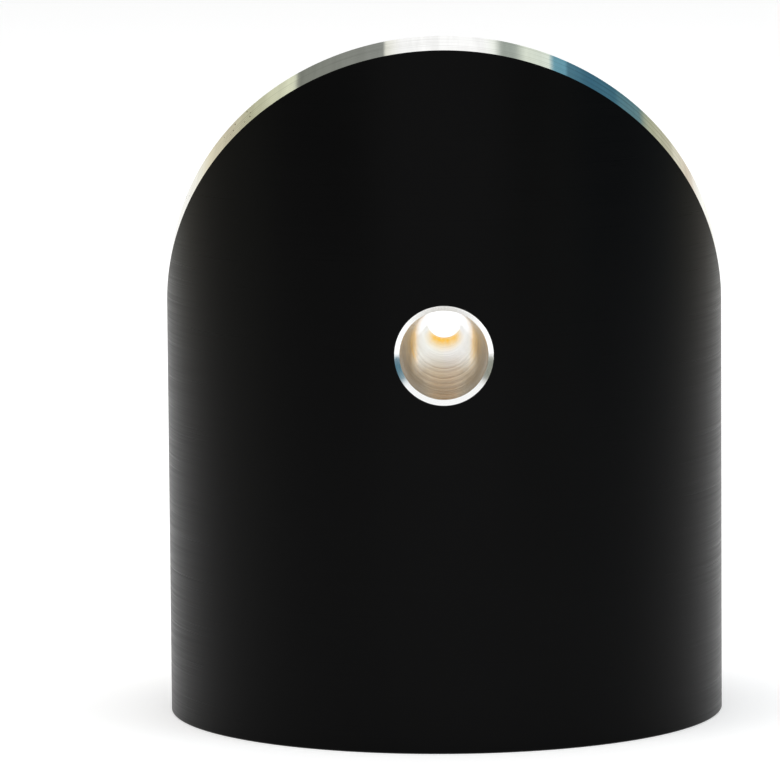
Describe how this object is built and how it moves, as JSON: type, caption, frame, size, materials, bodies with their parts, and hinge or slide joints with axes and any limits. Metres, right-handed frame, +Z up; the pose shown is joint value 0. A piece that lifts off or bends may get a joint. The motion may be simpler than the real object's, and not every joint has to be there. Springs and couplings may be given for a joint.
{
  "type": "off-axis parabolic mirror",
  "caption": "Round black-anodised barrel whose sloping top is a polished, gold-coated off-axis paraboloid; a tapered hole runs through it along the focused beam.",
  "frame": {"origin": "middle of the flat base", "axes": "+Z up along the barrel's axis; the tall side with the hole's mouth faces -Y, and the focused beam leaves along +Y"},
  "size_m": [0.0508, 0.0508, 0.0638],
  "materials": {
    "black_anodised_aluminium": "matte black anodised"
  },
  "bodies": {
    "root": {"mirror_substrate": "black_anodised_aluminium"}
  },
  "joints": []
}
